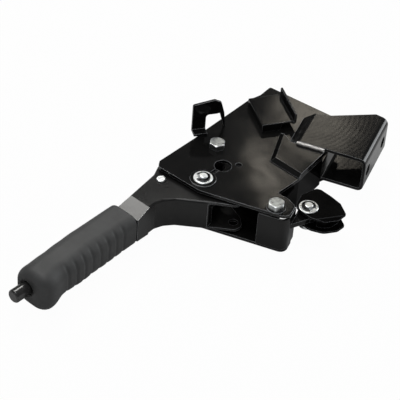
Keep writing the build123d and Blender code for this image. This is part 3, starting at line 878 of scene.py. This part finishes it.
@dataclass
class Studio:
    """Pale floor, soft lights, world and the camera at the photograph's angle."""

    azimuth: float = 19.0
    elevation: float = 40.5
    roll: float = 4.5
    lens: float = 162.0
    sensor_width: float = 36.0
    clip_end: float = 20.0
    distance: float = 1.579
    aim: Triple = (-0.12214, -0.12339, -0.00325)
    part_middle: Triple = (-0.11, -0.12, 0.0)
    floor_size: float = 4.0
    floor_gap: float = 0.0002
    floor_colour: Colour = (0.62, 0.62, 0.62, 1.0)
    floor_glow: float = 0.975
    floor_glint: float = 0.10
    card_place: Triple = (-1.25, 1.05, 0.12)
    card_size: tuple[float, float] = (1.1, 0.34)
    card_colour: Colour = (0.004, 0.004, 0.004, 1.0)
    light: float = 0.18
    ceiling: float = 0.16
    ceiling_from: float = 0.02
    ceiling_to: float = 0.22

    def axes(self) -> tuple[Vector, Vector, Vector]:
        """Return the camera's right, up and backward directions."""
        a, e, r = math.radians(self.azimuth), math.radians(self.elevation), math.radians(self.roll)
        back = Vector((math.sin(a) * math.cos(e), -math.cos(a) * math.cos(e), math.sin(e)))
        level = Vector((math.cos(a), math.sin(a), 0.0))
        upright = back.cross(level)
        right = level * math.cos(r) + upright * math.sin(r)
        up = upright * math.cos(r) - level * math.sin(r)
        return right, up, back

    def camera(self) -> bpy.types.Object:
        """Add the camera and make it the scene's."""
        right, up, back = self.axes()
        data = bpy.data.cameras.new("camera")
        data.lens = self.lens
        data.sensor_width = self.sensor_width
        data.clip_end = self.clip_end
        camera = bpy.data.objects.new("camera", data)
        turn = Matrix((right, up, back)).transposed().to_4x4()
        camera.matrix_world = Matrix.Translation(Vector(self.aim) + back * self.distance) @ turn
        bpy.context.scene.collection.objects.link(camera)
        bpy.context.scene.camera = camera
        return camera

    def floor(self, height: float) -> bpy.types.Object:
        """Add the floor under the part.

        Args:
            height: Height of the part's lowest point.

        Returns:
            The floor.
        """
        mesh = bmesh.new()
        bmesh.ops.create_grid(mesh, x_segments=2, y_segments=2, size=self.floor_size)
        bmesh.ops.translate(mesh, verts=mesh.verts, vec=(0.0, 0.0, height - self.floor_gap))
        floor = object_from(mesh, "floor", smooth=False)
        graph = ShaderGraph("studio_floor")
        graph.set(Base_Color=self.floor_colour, Roughness=0.9, Specular_IOR_Level=0.1)
        glow = graph.tree.nodes.new("ShaderNodeEmission")
        glow.inputs["Strength"].default_value = 1.0
        path = graph.tree.nodes.new("ShaderNodeLightPath")
        share = graph.tree.nodes.new("ShaderNodeMapRange")
        share.inputs["To Min"].default_value = 0.0
        share.inputs["To Max"].default_value = self.floor_glow
        graph.tree.links.new(path.outputs["Is Camera Ray"], share.inputs["Value"])
        reflected = graph.tree.nodes.new("ShaderNodeMath")
        reflected.operation = "MULTIPLY_ADD"
        reflected.inputs[1].default_value = self.floor_glint
        graph.tree.links.new(self.seen_in_gloss(graph.tree), reflected.inputs[0])
        graph.tree.links.new(share.outputs["Result"], reflected.inputs[2])
        mix = graph.tree.nodes.new("ShaderNodeMixShader")
        graph.join(reflected, "Value", mix, "Fac")
        graph.tree.links.new(graph.shader.outputs["BSDF"], mix.inputs[1])
        graph.tree.links.new(glow.outputs["Emission"], mix.inputs[2])
        graph.join(mix, "Shader", graph.output, "Surface")
        finished(floor, graph.material)
        floor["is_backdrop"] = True
        return floor

    def seen_in_gloss(self, tree: bpy.types.NodeTree) -> bpy.types.NodeSocket:
        """Return a socket that is 1 for glossy and transmission rays, and 0 for the rest.

        Args:
            tree: Node tree that gets the nodes.

        Returns:
            The socket.
        """
        path = tree.nodes.new("ShaderNodeLightPath")
        most = tree.nodes.new("ShaderNodeMath")
        most.operation = "MAXIMUM"
        tree.links.new(path.outputs["Is Glossy Ray"], most.inputs[0])
        tree.links.new(path.outputs["Is Transmission Ray"], most.inputs[1])
        return most.outputs["Value"]

    def seen_directly(self, tree: bpy.types.NodeTree) -> bpy.types.NodeSocket:
        """Return a socket that is 1 for camera, glossy and transmission rays, and 0 for the rest.

        Args:
            tree: Node tree that gets the nodes.

        Returns:
            The socket.
        """
        path = tree.nodes.new("ShaderNodeLightPath")
        most = tree.nodes.new("ShaderNodeMath")
        most.operation = "MAXIMUM"
        tree.links.new(path.outputs["Is Camera Ray"], most.inputs[0])
        tree.links.new(self.seen_in_gloss(tree), most.inputs[1])
        return most.outputs["Value"]

    def dark_card(self) -> bpy.types.Object:
        """Add a low black card behind the part on the left, seen only in reflections.

        Returns:
            The card.
        """
        mesh = bmesh.new()
        bmesh.ops.create_grid(mesh, x_segments=1, y_segments=1, size=1.0)
        bmesh.ops.scale(mesh, verts=mesh.verts, vec=(self.card_size[0] / 2.0, self.card_size[1] / 2.0, 1.0))
        away = Vector((self.card_place[0], self.card_place[1], 0.0)).normalized()
        upright = Vector((0.0, 0.0, 1.0))
        turn = Matrix((away.cross(upright), upright, away)).transposed().to_4x4()
        bmesh.ops.transform(mesh, matrix=Matrix.Translation(Vector(self.card_place)) @ turn, verts=mesh.verts)
        card = object_from(mesh, "dark_card", smooth=False)
        graph = ShaderGraph("card_black")
        graph.set(Base_Color=self.card_colour, Roughness=1.0, Specular_IOR_Level=0.0)
        finished(card, graph.material)
        card.visible_camera = False
        card.visible_diffuse = False
        card.visible_shadow = False
        card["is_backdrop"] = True
        return card

    def world(self) -> None:
        """Light everything softly, and show a white surround below a dim ceiling."""
        world = bpy.data.worlds.new("studio")
        bpy.context.scene.world = world
        world.use_nodes = True
        tree = world.node_tree
        tree.nodes.clear()
        output = tree.nodes.new("ShaderNodeOutputWorld")
        shade = tree.nodes.new("ShaderNodeBackground")
        shade.inputs["Strength"].default_value = self.light
        white = tree.nodes.new("ShaderNodeBackground")
        place = tree.nodes.new("ShaderNodeTexCoord")
        height = tree.nodes.new("ShaderNodeSeparateXYZ")
        fade = tree.nodes.new("ShaderNodeMapRange")
        fade.interpolation_type = "SMOOTHSTEP"
        fade.inputs["From Min"].default_value = self.ceiling_from
        fade.inputs["From Max"].default_value = self.ceiling_to
        fade.inputs["To Min"].default_value = 1.0
        fade.inputs["To Max"].default_value = self.ceiling
        tree.links.new(place.outputs["Generated"], height.inputs["Vector"])
        tree.links.new(height.outputs["Z"], fade.inputs["Value"])
        path = tree.nodes.new("ShaderNodeLightPath")
        bright = tree.nodes.new("ShaderNodeMath")
        bright.operation = "MAXIMUM"
        tree.links.new(path.outputs["Is Camera Ray"], bright.inputs[0])
        tree.links.new(fade.outputs["Result"], bright.inputs[1])
        tree.links.new(bright.outputs["Value"], white.inputs["Strength"])
        mix = tree.nodes.new("ShaderNodeMixShader")
        tree.links.new(self.seen_directly(tree), mix.inputs[0])
        tree.links.new(shade.outputs["Background"], mix.inputs[1])
        tree.links.new(white.outputs["Background"], mix.inputs[2])
        tree.links.new(mix.outputs["Shader"], output.inputs["Surface"])

    def hang(self, lamp: Lamp) -> bpy.types.Object:
        """Add a lamp to the scene, facing the part.

        Args:
            lamp: What it is and where it hangs.

        Returns:
            The light.
        """
        data = bpy.data.lights.new(lamp.name, "AREA")
        data.shape = "RECTANGLE"
        data.size, data.size_y = lamp.size
        data.energy = lamp.power
        data.color = lamp.colour
        light = bpy.data.objects.new(lamp.name, data)
        middle = Vector(self.part_middle)
        spot = middle + Vector(lamp.place)
        facing = (middle - spot).to_track_quat("-Z", "Y").to_matrix()
        light.location = spot
        light.rotation_euler = (facing @ Matrix.Rotation(math.radians(lamp.roll), 3, "Z")).to_euler()
        bpy.context.scene.collection.objects.link(light)
        return light


def own_finishes() -> dict[str, bpy.types.Material]:
    """Return the finishes of the nodes that differ from their slot's."""
    bracket_paint = PaintFinish(name="bracket_paint", roughness=(0.09, 0.18), scuffs=(-0.085, 0.010, 0.0))
    lever_paint = PaintFinish(name="lever_paint", dark=0.012, light=0.020, roughness=(0.17, 0.28))
    bright_zinc = ZincFinish(name="bright_zinc", dark=(0.74, 0.77, 0.78, 1.0), light=(0.95, 0.97, 0.96, 1.0))
    # Painted shade: a darker, nearly matt copy of the black paint for the pieces in the housing's shadow
    shade_paint = PaintFinish(name="shade_paint", dark=0.002, light=0.005, edge_highlight=0.20, gloss=0.03)
    own = {"base_bracket": bracket_paint.build(), "lever_arm": lever_paint.build()}
    own.update(dict.fromkeys(BRIGHT_NODES, bright_zinc.build()))
    own.update(dict.fromkeys(SHADED_NODES, shade_paint.build()))
    return own


def main() -> None:
    """Build and dress every piece, then light and frame the part."""
    logging.basicConfig(level=logging.INFO, format="%(message)s")
    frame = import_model()
    cad_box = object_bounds()
    finishes = {
        Slot.PAINT.value: PaintFinish().build(),
        Slot.RUBBER.value: RubberFinish().build(),
        Slot.ZINC.value: ZincFinish().build(),
        Slot.STEEL.value: SteelFinish().build(),
        Slot.BUTTON.value: ButtonFinish().build(),
    }
    slots = {part["node"]: part["material_slot"] for part in frame["record"]["subparts"]}
    own = own_finishes()
    # The weld bead's bright steel colour is a painted highlight on it
    bead_painted_highlight = SteelFinish(name="bead_painted_highlight", dark=0.42, light=0.78).build()
    rounding = EdgeRounding()
    crisp = EdgeRounding(angle=CRISP_ANGLE)
    tube = TubeFrame()
    sleeve = GripSleeve().build(tube)
    finished(sleeve, finishes[Slot.RUBBER.value])
    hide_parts("grip")
    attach(sleeve, Body.LEVER.value)
    LOG.info("grip sleeve: %d faces", len(sleeve.data.polygons))
    spring = ReturnSpring()
    coil = spring.build(tube)
    finished(coil, finishes[Slot.STEEL.value])
    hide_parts("button_spring")
    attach(coil, Body.LEVER.value)
    spring.shorten(coil)
    LOG.info("return spring: %d faces", len(coil.data.polygons))
    bead = WeldBead().build()
    finished(bead, bead_painted_highlight)
    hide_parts("bracket_weld")
    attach(bead, Body.HOUSING.value)
    LOG.info("weld bead: %d faces", len(bead.data.polygons))
    for name, node in frame["nodes"].items():
        finished(node, own.get(name, finishes[slots[name]]))
        (crisp if name in CRISP_NODES else rounding).apply_to(node)
        LOG.info("%s: %s", name, slots[name])
    studio = Studio()
    studio.camera()
    studio.floor(cad_box[0][2])
    studio.world()
    for lamp in LAMPS:
        studio.hang(lamp)
    studio.dark_card()
    bpy.context.scene.view_settings.view_transform = "Standard"


if __name__ == "__main__":
    main()
